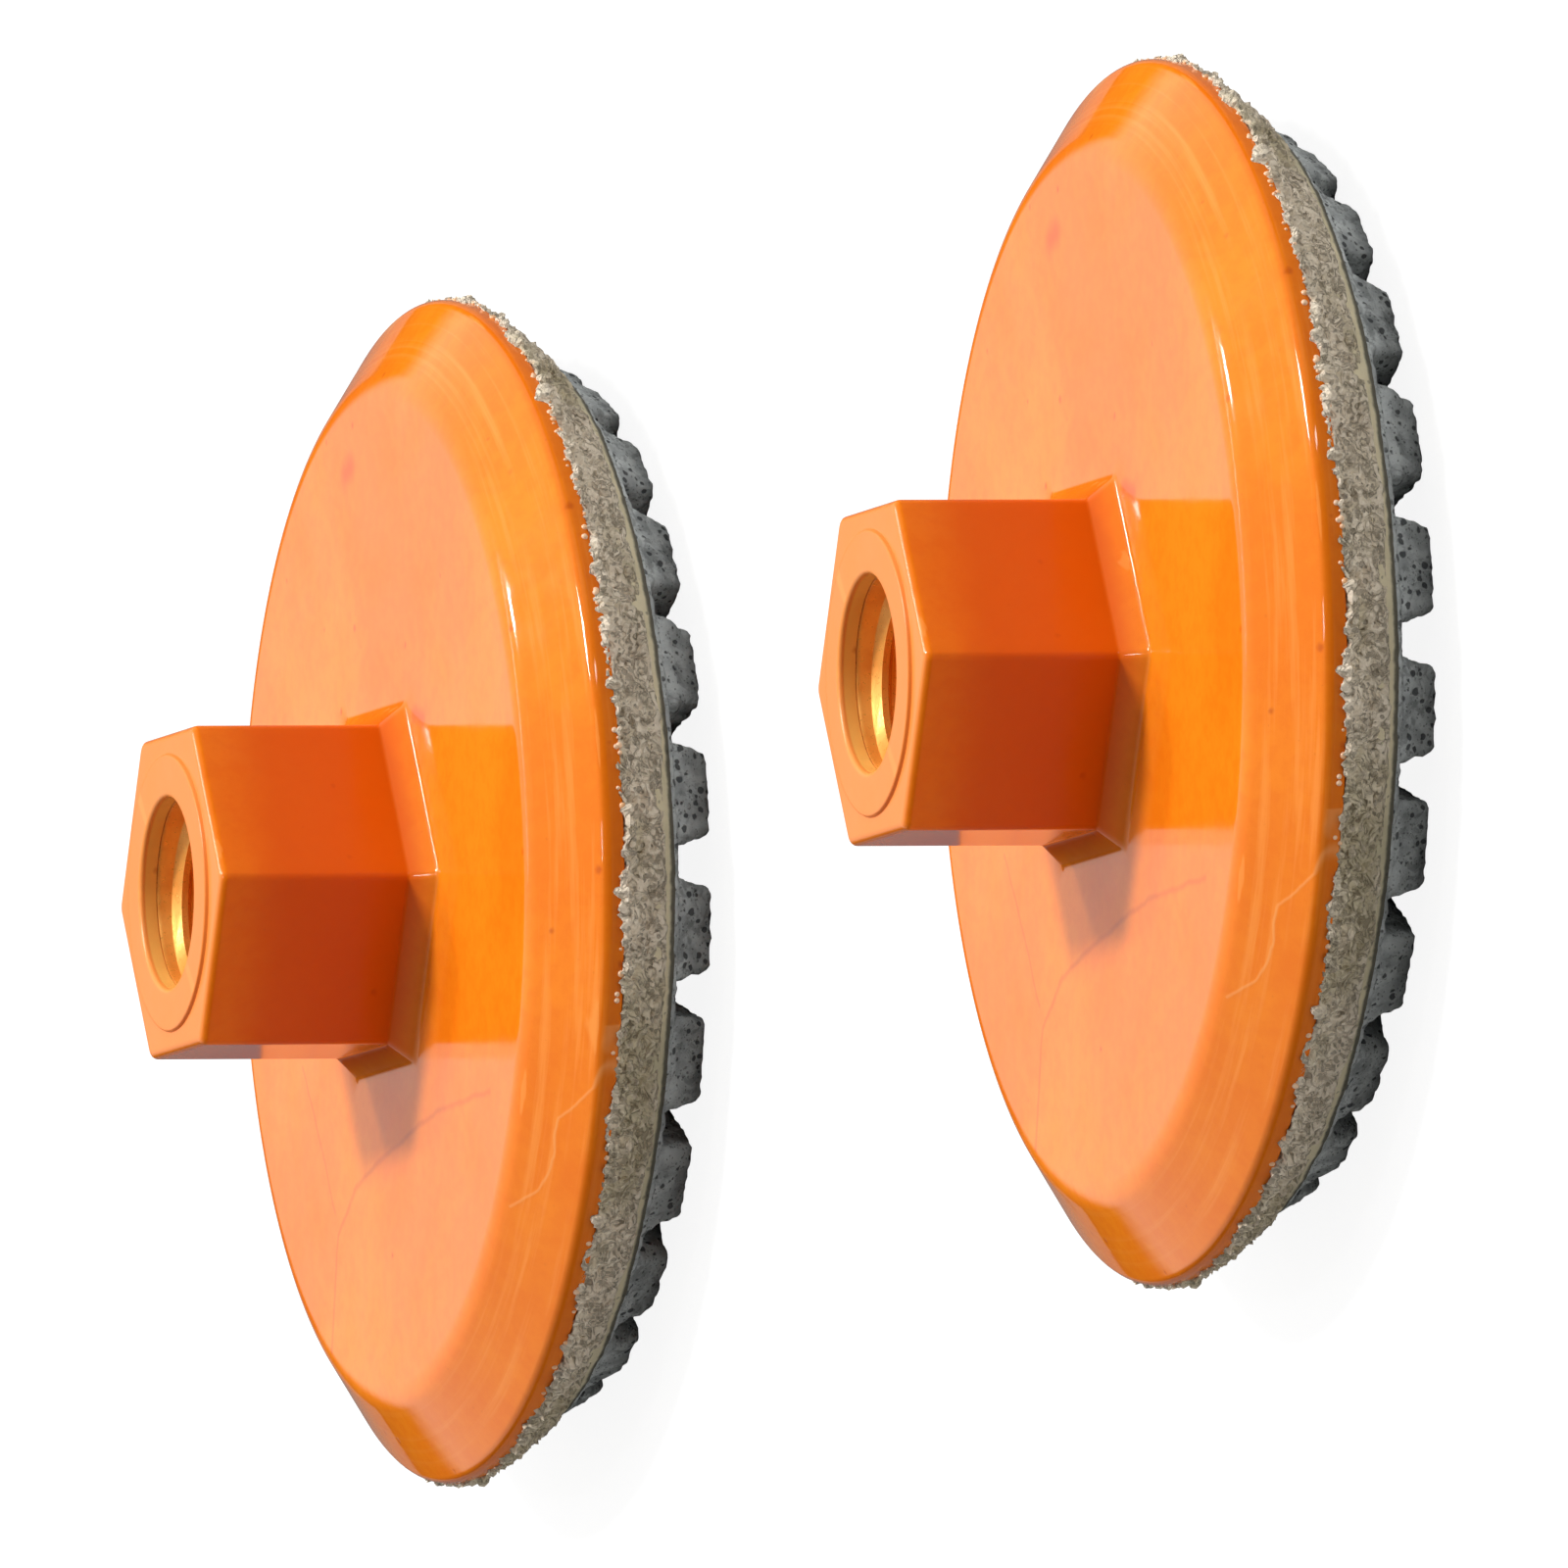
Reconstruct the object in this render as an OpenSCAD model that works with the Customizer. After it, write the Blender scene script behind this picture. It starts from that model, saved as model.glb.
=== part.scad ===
// Pair of segmented grinding discs, lying side by side on their abrasive faces.
// Each disc is a moulded plastic backing plate with a hexagonal threaded hub,
// a metal thread insert, a ring of porous bonding cement, a base ring, and a crown
// of separate abrasive segments. Millimetres, +Z up. The origin is on the surface
// that the discs lie on, midway between the two disc axes.

/* [Disc] */
// Diameter over the rim of the backing plate
disc_d = 100; // [90:1:125]
// Diameter of the flat back face inside the bevel
flat_d = 85.8; // [70:0.2:88]
// Height of the upright edge of the rim
rim_h = 1.7; // [1:0.1:3]
// Height of the bevel between the rim and the flat back face
bevel_h = 4.9; // [3:0.1:8]
// Rounding where the bevel meets the flat face and the rim
bevel_round = 1.2; // [0.4:0.1:1.6]

/* [Hub] */
// Width across the flats of the hexagonal hub
hub_af = 27; // [26:0.5:32]
// Height of the hub above the flat back face
hub_h = 19; // [14:0.5:24]
// Height of the flared foot of the hub
foot_h = 2.2; // [1:0.1:3]
// Extra width of the flared foot on each flat
foot_w = 1.6; // [0.5:0.1:2.5]
// Turn of the hexagon about the disc axis, in degrees
hub_turn = 5; // [0:1:59]
// Diameter of the raised seat on the end of the hub
seat_d = 23.4; // [21:0.2:25]
// Height of the raised seat
seat_h = 0.35; // [0.2:0.05:0.6]

/* [Thread] */
// Bore of the thread insert, which is the thread's inner diameter
thread_d = 13.8; // [11.8:0.1:14]
// Diameter of the plain entry and exit of the threaded hole
entry_d = 16.2; // [15:0.1:17]
// Depth of the plain entry in the end of the hub
entry_h = 1.5; // [1:0.1:4]
// Outside diameter of the thread insert
insert_d = 20; // [18:0.5:22]
// Length of the thread insert
insert_h = 20; // [14:0.5:21]

/* [Abrasive] */
// Number of abrasive segments around one disc
segments = 24; // [12:1:26]
// Height of one segment
segment_h = 3.9; // [2:0.1:6]
// Outside diameter of the crown where the segments leave the base ring
crown_d = 90.4; // [84:0.2:94]
// Inside diameter of the crown
crown_in_d = 58; // [50:1:70]
// Width of a slot between two segments at its bottom
slot_root_w = 2.4; // [1:0.1:3]
// Width of a slot between two segments at its mouth
slot_mouth_w = 4.4; // [3.4:0.1:5]
// Turn of the crown about the disc axis, in degrees
crown_turn = -4.2; // [-14:0.1:14]
// Thickness of the base ring under the segments
base_h = 2.1; // [1:0.1:3]
// Thickness of the bonding cement
cement_h = 3.5; // [1.5:0.1:4]
// Inside diameter of the cement and the base ring
ring_in_d = 54; // [48:1:56]

/* [Layout] */
// Distance between the two disc axes along X
pair_x = 205; // [130:1:260]
// Distance between the two disc axes along Y
pair_y = 18; // [-40:1:40]

/* [Hidden] */
$fn = 96;
pitch = 360 / segments;
base_z = segment_h;
cement_z = base_z + base_h;
plate_z = cement_z + cement_h;
rim_z = plate_z + rim_h;
back_z = rim_z + bevel_h;
hub_z = back_z + hub_h;
hub_r = hub_af / sqrt(3);
foot_r = (hub_af + 2 * foot_w) / sqrt(3);
insert_z = hub_z - entry_h - insert_h;
// The crown, base ring and cement lean in a little towards the abrasive face.
crown_lean = 1.7;
base_d = crown_d + 1;
base_top_d = base_d + 2.4;
cement_d = base_top_d + 1;
cement_top_d = disc_d - 0.6;
segment_round = 0.5;
// The insert is held by a groove that the plastic fills.
groove_w = 3;
groove_t = 1.2;
lead_in = 0.6;
eps = 0.01;

DISCS = ["a", "b"];
SEGMENT_NUMBERS = [for (i = [1 : segments]) str(i < 10 ? "0" : "", i)];

// Puts a piece of disc "a" or disc "b" where that disc lies.
module at_disc(disc) {
    side = disc == "a" ? -1 : 1;
    translate([side * pair_x / 2, side * pair_y / 2, 0])
        children();
}

// Points of an arc about a centre, from one direction to another.
function corner(centre, radius, from, to) =
    [for (step = [0 : 3]) centre + radius * [cos(from + (to - from) * step / 3),
                                             sin(from + (to - from) * step / 3)]];

// Half section of the plate: flat back, rounded bevel and upright rim.
module plate_section() {
    rim_r = disc_d / 2;
    bevel_angle = atan(bevel_h / (rim_r - flat_d / 2));
    normal = 90 - bevel_angle;
    run_flat = bevel_round * tan(bevel_angle / 2);
    run_rim = bevel_round * tan(normal / 2);
    flat_centre = [flat_d / 2 - run_flat, back_z - bevel_round];
    rim_centre = [rim_r - bevel_round, rim_z - run_rim];
    polygon(concat(
        [[0, plate_z], [rim_r - 0.3, plate_z], [rim_r, plate_z + 0.3]],
        corner(rim_centre, bevel_round, 0, normal),
        corner(flat_centre, bevel_round, normal, 90),
        [[0, back_z]]
    ));
}

// Outside of the thread insert, also the cavity that holds it in the hub.
module insert_outside() {
    groove_z = insert_h / 2 - groove_w / 2;
    translate([0, 0, insert_z])
        rotate_extrude()
            polygon([
                [0, 0],
                [insert_d / 2, 0],
                [insert_d / 2, groove_z],
                [insert_d / 2 - groove_t, groove_z],
                [insert_d / 2 - groove_t, groove_z + groove_w],
                [insert_d / 2, groove_z + groove_w],
                [insert_d / 2, insert_h],
                [0, insert_h]
            ]);
}

module backing_plate() {
    color("darkorange")
        difference() {
            union() {
                rotate_extrude()
                    plate_section();
                rotate([0, 0, hub_turn]) {
                    translate([0, 0, back_z - 1])
                        cylinder(r = hub_r, h = hub_h + 1 - seat_h, $fn = 6);
                    translate([0, 0, back_z])
                        cylinder(r1 = foot_r, r2 = hub_r, h = foot_h, $fn = 6);
                }
                translate([0, 0, hub_z - 1])
                    cylinder(d = seat_d, h = 1);
            }
            insert_outside();
            translate([0, 0, plate_z - 1])
                cylinder(d = entry_d, h = insert_z - plate_z + 1 + eps);
            translate([0, 0, hub_z - entry_h - eps])
                cylinder(d = entry_d, h = entry_h + 1);
        }
}

module thread_insert() {
    color("goldenrod")
        difference() {
            insert_outside();
            translate([0, 0, insert_z - 1])
                cylinder(d = thread_d, h = insert_h + 2);
            translate([0, 0, insert_z + insert_h - lead_in])
                cylinder(d1 = thread_d, d2 = thread_d + 2 * lead_in, h = lead_in);
            translate([0, 0, insert_z])
                cylinder(d1 = thread_d + 2 * lead_in, d2 = thread_d, h = lead_in);
        }
}

// A flat ring with a leaning outer wall.
module leaning_ring(low_z, height, low_d, high_d, in_d) {
    rotate_extrude()
        polygon([
            [in_d / 2, low_z],
            [low_d / 2, low_z],
            [high_d / 2, low_z + height],
            [in_d / 2, low_z + height]
        ]);
}

module cement_layer() {
    color("tan")
        leaning_ring(cement_z, cement_h, cement_d, cement_top_d, ring_in_d);
}

module base_ring() {
    color("darkkhaki")
        leaning_ring(base_z, base_h, base_d, base_top_d, ring_in_d);
}

// Straight slot from the middle outwards, wider at its mouth.
module slot() {
    root = slot_root_w / 2;
    mouth = slot_mouth_w / 2;
    rotate([90, 0, 90])
        linear_extrude(height = disc_d)
            polygon([
                [-root, base_z + 1],
                [-root, base_z],
                [-mouth, segment_round],
                [-mouth - segment_round, 0],
                [-mouth - segment_round, -1],
                [mouth + segment_round, -1],
                [mouth + segment_round, 0],
                [mouth, segment_round],
                [root, base_z],
                [root, base_z + 1]
            ]);
}

// One abrasive block of the crown: number 1 is nearest to +X.
module segment(number) {
    reach = disc_d;
    tip_r = crown_d / 2 - crown_lean;
    color("slategray")
        rotate([0, 0, crown_turn + (number - 1) * pitch])
            difference() {
                intersection() {
                    rotate_extrude()
                        polygon([
                            [crown_in_d / 2, 0],
                            [tip_r - segment_round, 0],
                            [tip_r, segment_round],
                            [crown_d / 2, segment_h],
                            [crown_in_d / 2, segment_h]
                        ]);
                    translate([0, 0, -1])
                        linear_extrude(height = segment_h + 2)
                            polygon([
                                [0, 0],
                                [reach, -reach * tan(pitch / 2)],
                                [reach, reach * tan(pitch / 2)]
                            ]);
                }
                rotate([0, 0, pitch / 2])
                    slot();
                rotate([0, 0, -pitch / 2])
                    slot();
            }
}

for (disc = DISCS) {
    at_disc(disc) backing_plate();
    at_disc(disc) thread_insert();
    at_disc(disc) cement_layer();
    at_disc(disc) base_ring();
    for (i = [1 : segments])
        at_disc(disc) segment(i);
}
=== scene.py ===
import math
import random

import bmesh
import bpy
from mathutils import Matrix, Vector


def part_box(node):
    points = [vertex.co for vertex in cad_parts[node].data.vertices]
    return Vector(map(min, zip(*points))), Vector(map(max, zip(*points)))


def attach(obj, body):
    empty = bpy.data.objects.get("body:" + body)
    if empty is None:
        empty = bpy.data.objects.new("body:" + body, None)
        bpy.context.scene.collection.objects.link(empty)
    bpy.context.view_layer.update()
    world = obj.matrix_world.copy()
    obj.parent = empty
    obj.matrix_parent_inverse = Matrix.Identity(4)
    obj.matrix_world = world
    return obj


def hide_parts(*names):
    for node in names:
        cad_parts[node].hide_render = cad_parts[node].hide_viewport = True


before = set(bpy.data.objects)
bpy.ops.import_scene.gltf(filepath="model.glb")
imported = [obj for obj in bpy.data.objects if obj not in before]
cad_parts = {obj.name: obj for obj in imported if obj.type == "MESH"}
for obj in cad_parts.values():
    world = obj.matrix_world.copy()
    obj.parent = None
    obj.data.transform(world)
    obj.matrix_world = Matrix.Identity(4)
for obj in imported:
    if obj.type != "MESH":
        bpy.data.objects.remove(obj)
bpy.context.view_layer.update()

# Two segmented grinding discs lie on their abrasive faces, hubs up. Disc b is a twin of
# disc a, so each piece is modelled on disc a and copied. Lengths are in metres.

MM = 0.001
TINY = 0.01 * MM
RING_STEP = 0.03 * MM  # two rings that a bridge joins lie this far apart in height

# ---------------------------------------------------------------- sizes from the frame


def box_middle(node):
    low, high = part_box(node)
    return (low + high) / 2


def box_radius(node):
    low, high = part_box(node)
    return (high.x - low.x) / 2


def disc_axis(disc):
    middle = box_middle("base_ring_" + disc)
    return Vector((middle.x, middle.y, 0))


AXIS = disc_axis("a")
TWIN_SHIFT = disc_axis("b") - AXIS
BODY = {"a": "root", "b": "disc_b"}

block_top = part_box("segment_a01")[1].z
base_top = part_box("base_ring_a")[1].z
plate_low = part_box("backing_plate_a")[0].z
hub_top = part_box("backing_plate_a")[1].z
insert_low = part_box("thread_insert_a")[0].z
insert_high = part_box("thread_insert_a")[1].z
rim_r = box_radius("backing_plate_a")
base_r = box_radius("base_ring_a")
insert_r = box_radius("thread_insert_a")

# Plate and hub
flat_r = 42.9 * MM
rim_h = 1.7 * MM
rim_round = 0.3 * MM
bevel_h = 4.9 * MM
bevel_round = 1.2 * MM
flat_edge_round = 4 * MM
hub_flat = 13.5 * MM
foot_h = 2.2 * MM
foot_w = 1.6 * MM
hub_turn = math.radians(5)
hub_corner_cut = 0.55 * MM
hub_corner_parts = 8
hub_edge_round = 0.7 * MM
seat_r = 11.7 * MM
seat_h = 0.35 * MM
hole_r = 8.1 * MM
back_z = plate_low + rim_h + bevel_h
hub_face_z = hub_top - seat_h

# Thread
thread_pitch = 2.31 * MM
thread_root_r = 7.94 * MM
thread_crest_r = 6.92 * MM

# Crown of blocks
block_count = sum(name.startswith("segment_a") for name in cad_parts)
pitch = 2 * math.pi / block_count
crown_turn = math.radians(-4.2)
crown_r = 45.2 * MM
crown_lean = 1.7 * MM
crown_in_r = 29 * MM
slot_root = 1.2 * MM
slot_mouth = 2.2 * MM
ring_in_r = 27 * MM

PLATE_SIDES = 192
RING_SIDES = 1440

# ---------------------------------------------------------------- modelling helpers


def pick_nothing():
    bpy.ops.object.select_all(action="DESELECT")


def pick_only(piece):
    pick_nothing()
    piece.select_set(True)
    bpy.context.view_layer.objects.active = piece


def edit(piece):
    pick_only(piece)
    bpy.ops.object.mode_set(mode="EDIT")


def done():
    bpy.ops.object.mode_set(mode="OBJECT")


def settle():
    """Puts the active object's place, turn and scale into its mesh."""
    bpy.ops.object.transform_apply(location=True, rotation=True, scale=True)


def apply_modifier(piece, kind, **settings):
    pick_only(piece)
    modifier = piece.modifiers.new(kind.title(), kind)
    for name, value in settings.items():
        setattr(modifier, name, value)
    bpy.ops.object.modifier_apply(modifier=modifier.name)


def radius_of(point):
    """How far a point of a mesh is from the axis of disc a."""
    return math.hypot(point.co.x - AXIS.x, point.co.y - AXIS.y)


def pick_points(piece, wanted):
    """In edit mode: selects the points for which wanted(radius, height) is true."""
    bpy.ops.mesh.select_all(action="DESELECT")
    shape = bmesh.from_edit_mesh(piece.data)
    for point in shape.verts:
        point.select = wanted(radius_of(point), point.co.z)
    shape.select_flush(True)
    bmesh.update_edit_mesh(piece.data)


def pick_open_rings(piece, height):
    """In edit mode: selects the edges at this height that only one face uses."""
    bpy.ops.mesh.select_all(action="DESELECT")
    shape = bmesh.from_edit_mesh(piece.data)
    for edge in shape.edges:
        level = all(abs(point.co.z - height) < RING_STEP + TINY for point in edge.verts)
        if level and len(edge.link_faces) == 1:
            edge.select = True
    bmesh.update_edit_mesh(piece.data)


def bare_ring(radius, height, sides):
    """In object mode: a new object that is one ring about the axis of disc a."""
    pick_nothing()
    bpy.ops.mesh.primitive_circle_add(vertices=sides, radius=radius,
                                      location=(AXIS.x, AXIS.y, height))
    settle()
    return bpy.context.object


def draw_rings(start, places):
    """In edit mode: extrudes the selected ring through (radius, height) places."""
    radius, height = start
    for next_radius, next_height in places:
        bpy.ops.mesh.extrude_region_move(
            TRANSFORM_OT_translate={"value": (0, 0, next_height - height)})
        if abs(next_radius - radius) > TINY / 100:
            scale = next_radius / radius
            bpy.ops.transform.resize(value=(scale, scale, 1),
                                     center_override=(AXIS.x, AXIS.y, next_height))
        radius, height = next_radius, next_height


def arc(middle_r, middle_z, radius, start, end, steps):
    """(radius, height) places along an arc of a half section, angles in degrees."""
    places = []
    for step in range(steps + 1):
        angle = math.radians(start + (end - start) * step / steps)
        places.append((middle_r + radius * math.cos(angle),
                       middle_z + radius * math.sin(angle)))
    return places


def line(start, end, steps):
    """The places after start, up to end, in equal steps."""
    return [tuple(a + (b - a) * (step + 1) / steps for a, b in zip(start, end))
            for step in range(steps)]


def close_up():
    """In edit mode: merges rings that meet and turns every face outwards."""
    bpy.ops.mesh.select_all(action="SELECT")
    bpy.ops.mesh.remove_doubles(threshold=TINY)
    bpy.ops.mesh.normals_make_consistent(inside=False)


def turned_ring(name, places, sides):
    """A closed ring-shaped solid whose half section runs through the places."""
    piece = bare_ring(*places[0], sides)
    piece.name = name
    edit(piece)
    bpy.ops.mesh.select_all(action="SELECT")
    draw_rings(places[0], places[1:] + places[:1])
    close_up()
    done()
    return piece


def rough_group(piece, name, weight):
    """A point group whose weights come from weight(radius, height)."""
    group = piece.vertex_groups.new(name=name)
    for point in piece.data.vertices:
        share = weight(radius_of(point), point.co.z)
        if share > 0:
            group.add([point.index], min(share, 1), "REPLACE")


def noise_field(name, kind, size, **settings):
    field = bpy.data.textures.new(name, kind)
    field.noise_scale = size
    for key, value in settings.items():
        setattr(field, key, value)
    return field


def roughen(piece, field, group, strength, way="NORMAL", level=0.5):
    """Pushes a piece's surface in and out by a noise field, where its group says."""
    apply_modifier(piece, "DISPLACE", texture=field, vertex_group=group, direction=way,
                   strength=strength, mid_level=level, texture_coords="LOCAL")


def smooth(piece, degrees):
    pick_only(piece)
    bpy.ops.object.shade_smooth_by_angle(angle=math.radians(degrees))


def twin_of(piece, name):
    """A copy with its own mesh, moved to disc b."""
    pick_only(piece)
    bpy.ops.object.duplicate(linked=False)
    twin = bpy.context.object
    twin.name = name
    bpy.ops.transform.translate(value=TWIN_SHIFT)
    settle()
    return twin


def hand_over(piece_a, piece_name, node_name, finishes, number=""):
    """Both discs' pieces get their finish, ride on their body and stand for their node."""
    piece_a.name = f"{piece_name}_a{number}"
    pieces = {"a": piece_a, "b": twin_of(piece_a, f"{piece_name}_b{number}")}
    for disc, piece in pieces.items():
        piece.data.name = piece.name
        coats = piece.data.materials
        for index, finish in enumerate(finishes):
            if index < len(coats):
                coats[index] = finish[disc]
            else:
                coats.append(finish[disc])
        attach(piece, BODY[disc])
        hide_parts(f"{node_name}_{disc}{number}")


# ---------------------------------------------------------------- shader helpers


def put(tree, kind, settings=None, **inputs):
    """Adds a node. Each input is a plain value or another node's output."""
    node = tree.nodes.new("ShaderNode" + kind)
    for name, value in (settings or {}).items():
        setattr(node, name, value)
    for name, value in inputs.items():
        connect(tree, value, node.inputs[name.replace("_", " ")])
    return node


def connect(tree, value, socket):
    if isinstance(value, bpy.types.NodeSocket):
        tree.links.new(value, socket)
    else:
        socket.default_value = value


def calc(tree, operation, *values, clamp=False):
    """One step of arithmetic on masks and measures."""
    node = put(tree, "Math", {"operation": operation, "use_clamp": clamp})
    for value, socket in zip(values, node.inputs):
        connect(tree, value, socket)
    return node.outputs[0]


def less(tree, first, second):
    return calc(tree, "SUBTRACT", first, second)


def product(tree, first, second):
    return calc(tree, "MULTIPLY", first, second)


def vector_calc(tree, operation, first, second, scale=None):
    """One step of arithmetic on places. A dot product gives a plain value."""
    node = put(tree, "VectorMath", {"operation": operation})
    connect(tree, first, node.inputs[0])
    connect(tree, second, node.inputs[1])
    if scale is not None:
        connect(tree, scale, node.inputs["Scale"])
    return node.outputs["Value" if operation == "DOT_PRODUCT" else "Vector"]


def spread(tree, value, low, high, to_low=0.0, to_high=1.0):
    """Maps low..high softly to to_low..to_high, and holds the ends."""
    node = put(tree, "MapRange", {"interpolation_type": "SMOOTHSTEP"}, Value=value,
               From_Min=low, From_Max=high, To_Min=to_low, To_Max=to_high)
    return node.outputs["Result"]


def mixed(tree, share, first, second):
    """Two colours mixed by a share."""
    node = put(tree, "Mix", {"data_type": "RGBA"})  # its colour sockets are 6, 7 and 2
    connect(tree, share, node.inputs["Factor"])
    connect(tree, first, node.inputs[6])
    connect(tree, second, node.inputs[7])
    return node.outputs[2]


def tinted(tree, colour, mask, share, tint):
    """The colour, with a share of the tint where the mask is 1."""
    return mixed(tree, product(tree, mask, share), colour, tint)


def grain(tree, where, scale, detail=3.0, roughness=0.55, distortion=0.0):
    return put(tree, "TexNoise", Vector=where, Scale=scale, Detail=detail,
               Roughness=roughness, Distortion=distortion).outputs["Fac"]


def parts_of(tree, vector):
    return put(tree, "SeparateXYZ", Vector=vector).outputs


def effect(name, inputs, outputs):
    """A new shader node group. Each input is (name, kind, start value)."""
    group = bpy.data.node_groups.new(name, "ShaderNodeTree")
    for label, kind, value in inputs:
        socket = group.interface.new_socket(label, in_out="INPUT", socket_type=kind)
        if value is not None:
            socket.default_value = value
    for label, kind in outputs:
        group.interface.new_socket(label, in_out="OUTPUT", socket_type=kind)
    return group, group.nodes.new("NodeGroupInput").outputs, \
        group.nodes.new("NodeGroupOutput").inputs


def use(tree, group, **inputs):
    node = tree.nodes.new("ShaderNodeGroup")
    node.node_tree = group
    for name, value in inputs.items():
        connect(tree, value, node.inputs[name.replace("_", " ")])
    return node.outputs


FLOAT = "NodeSocketFloat"
VECTOR = "NodeSocketVector"
COLOUR = "NodeSocketColor"


def pores_effect():
    """Small round pits of mixed size: a mask that is 1 in a pit."""
    group, given, result = effect(
        "Pores", [("Vector", VECTOR, None), ("Scale", FLOAT, 900.0), ("Share", FLOAT, 0.5)],
        [("Mask", FLOAT)])
    wobble = put(group, "TexNoise", Vector=given["Vector"], Scale=1500.0, Detail=2.0)
    shifted = put(group, "VectorMath", {"operation": "MULTIPLY_ADD"})
    connect(group, wobble.outputs["Color"], shifted.inputs[0])
    shifted.inputs[1].default_value = (0.4 * MM, 0.4 * MM, 0.4 * MM)
    connect(group, given["Vector"], shifted.inputs[2])
    cells = put(group, "TexVoronoi", Vector=shifted.outputs[0], Scale=given["Scale"])
    size = product(group, parts_of(group, cells.outputs["Color"])[0], given["Share"])
    edge = less(group, size, cells.outputs["Distance"])
    connect(group, spread(group, edge, 0.0, 0.12), result["Mask"])
    return group


def mottle_effect():
    """Two colours mixed in soft patches, with a finer grain on top."""
    group, given, result = effect(
        "Mottle", [("Vector", VECTOR, None), ("Scale", FLOAT, 80.0),
                   ("First", COLOUR, None), ("Second", COLOUR, None)],
        [("Color", COLOUR), ("Grain", FLOAT)])
    patches = grain(group, given["Vector"], given["Scale"], 4.0)
    fine = grain(group, given["Vector"], product(group, given["Scale"], 14.0), 4.0, 0.7)
    speckle = product(group, less(group, fine, 0.5), 0.7)
    share = calc(group, "ADD", spread(group, patches, 0.35, 0.65), speckle, clamp=True)
    connect(group, mixed(group, share, given["First"], given["Second"]), result["Color"])
    connect(group, fine, result["Grain"])
    return group


def edge_wear_and_highlight_effect():
    """1 on edges that stick out, broken up by grain: rubbed edges on the stone and cement, a painted
    highlight on the plastic's edges.
    """
    group, given, result = effect(
        "Edge wear and highlight", [("Vector", VECTOR, None), ("Low", FLOAT, 0.52), ("High", FLOAT, 0.6)],
        [("Mask", FLOAT)])
    ridge = put(group, "NewGeometry").outputs["Pointiness"]
    broken = product(group, less(group, grain(group, given["Vector"], 700.0), 0.5), 0.08)
    rubbed = calc(group, "ADD", ridge, broken)
    connect(group, spread(group, rubbed, given["Low"], given["High"]), result["Mask"])
    return group


def stroke_effect():
    """A soft-edged mark between two points, seen from above, with a slight wander."""
    group, given, result = effect(
        "Stroke", [("Vector", VECTOR, None), ("Start", VECTOR, None), ("End", VECTOR, None),
                   ("Width", FLOAT, 0.0002)], [("Mask", FLOAT)])
    noise = put(group, "TexNoise", Vector=given["Vector"], Scale=260.0, Detail=2.0)
    centred = vector_calc(group, "SUBTRACT", noise.outputs["Color"], (0.5, 0.5, 0.5))
    wander = vector_calc(group, "MULTIPLY", centred, (0.8 * MM, 0.8 * MM, 0))
    place = vector_calc(group, "ADD", given["Vector"], wander)
    flat_place = vector_calc(group, "MULTIPLY", place, (1, 1, 0))
    reach = vector_calc(group, "SUBTRACT", given["End"], given["Start"])
    offset = vector_calc(group, "SUBTRACT", flat_place, given["Start"])
    along = calc(group, "DIVIDE", vector_calc(group, "DOT_PRODUCT", offset, reach),
                 vector_calc(group, "DOT_PRODUCT", reach, reach), clamp=True)
    nearest = vector_calc(group, "SCALE", reach, (0, 0, 0), along)
    gap = vector_calc(group, "SUBTRACT", offset, nearest)
    distance = calc(group, "SQRT", vector_calc(group, "DOT_PRODUCT", gap, gap))
    connect(group, spread(group, distance, given["Width"], 0.0), result["Mask"])
    return group


PORES = pores_effect()
STROKE = stroke_effect()
MOTTLE = mottle_effect()
EDGE_WEAR_AND_HIGHLIGHT = edge_wear_and_highlight_effect()


def start_finish(name, disc):
    """A new material: its tree, its shader, and a place vector from the disc's axis."""
    material = bpy.data.materials.new(f"{name}_{disc}")
    material.use_nodes = True
    tree = material.node_tree
    shader = tree.nodes["Principled BSDF"]
    place = put(tree, "TexCoord").outputs["Object"]
    axis = disc_axis(disc)
    centred = put(tree, "Mapping", Vector=place, Location=(-axis.x, -axis.y, 0))
    return material, tree, shader, centred.outputs["Vector"]


def paint(tree, shader, colour, roughness, height, strength, depth):
    """Gives a shader its colour, roughness and fine relief."""
    relief = put(tree, "Bump", Height=height, Strength=strength, Distance=depth)
    tree.links.new(colour, shader.inputs["Base Color"])
    tree.links.new(roughness, shader.inputs["Roughness"])
    tree.links.new(relief.outputs["Normal"], shader.inputs["Normal"])


# ---------------------------------------------------------------- finishes


# Marks on the plastic, in millimetres from the disc's axis
HAIR_LINE = [(48.7, -11.2), (48.2, -13.8), (46.9, -16.3), (44.9, -17.9), (43.0, -19.0), (42.0, -20.6),
             (41.4, -22.2), (40.2, -23.6), (38.6, -24.9), (37.0, -25.6), (35.2, -26.4)]
LONG_SCRATCH = [(31.9, -16.6), (16, -18.6), (3, -21.6), (-8, -25), (-13.5, -29), (-15.7, -39)]
SHORT_SCRATCH = [(-24, -15), (-19, -21), (-14.5, -27)]
SMUDGES = [((-10.6, 35.2), (-9.0, 36.0), 2.1), ((10.0, 14.9), (12.4, 14.6), 1.3)]


def marked(tree, place, route, width):
    """The strongest of the strokes along a route."""
    mask = 0.0
    for start, end in zip(route, route[1:]):
        stroke = use(tree, STROKE, Vector=place, Start=(start[0] * MM, start[1] * MM, 0),
                     End=(end[0] * MM, end[1] * MM, 0), Width=width * MM)
        mask = calc(tree, "MAXIMUM", mask, stroke["Mask"])
    return mask


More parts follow.
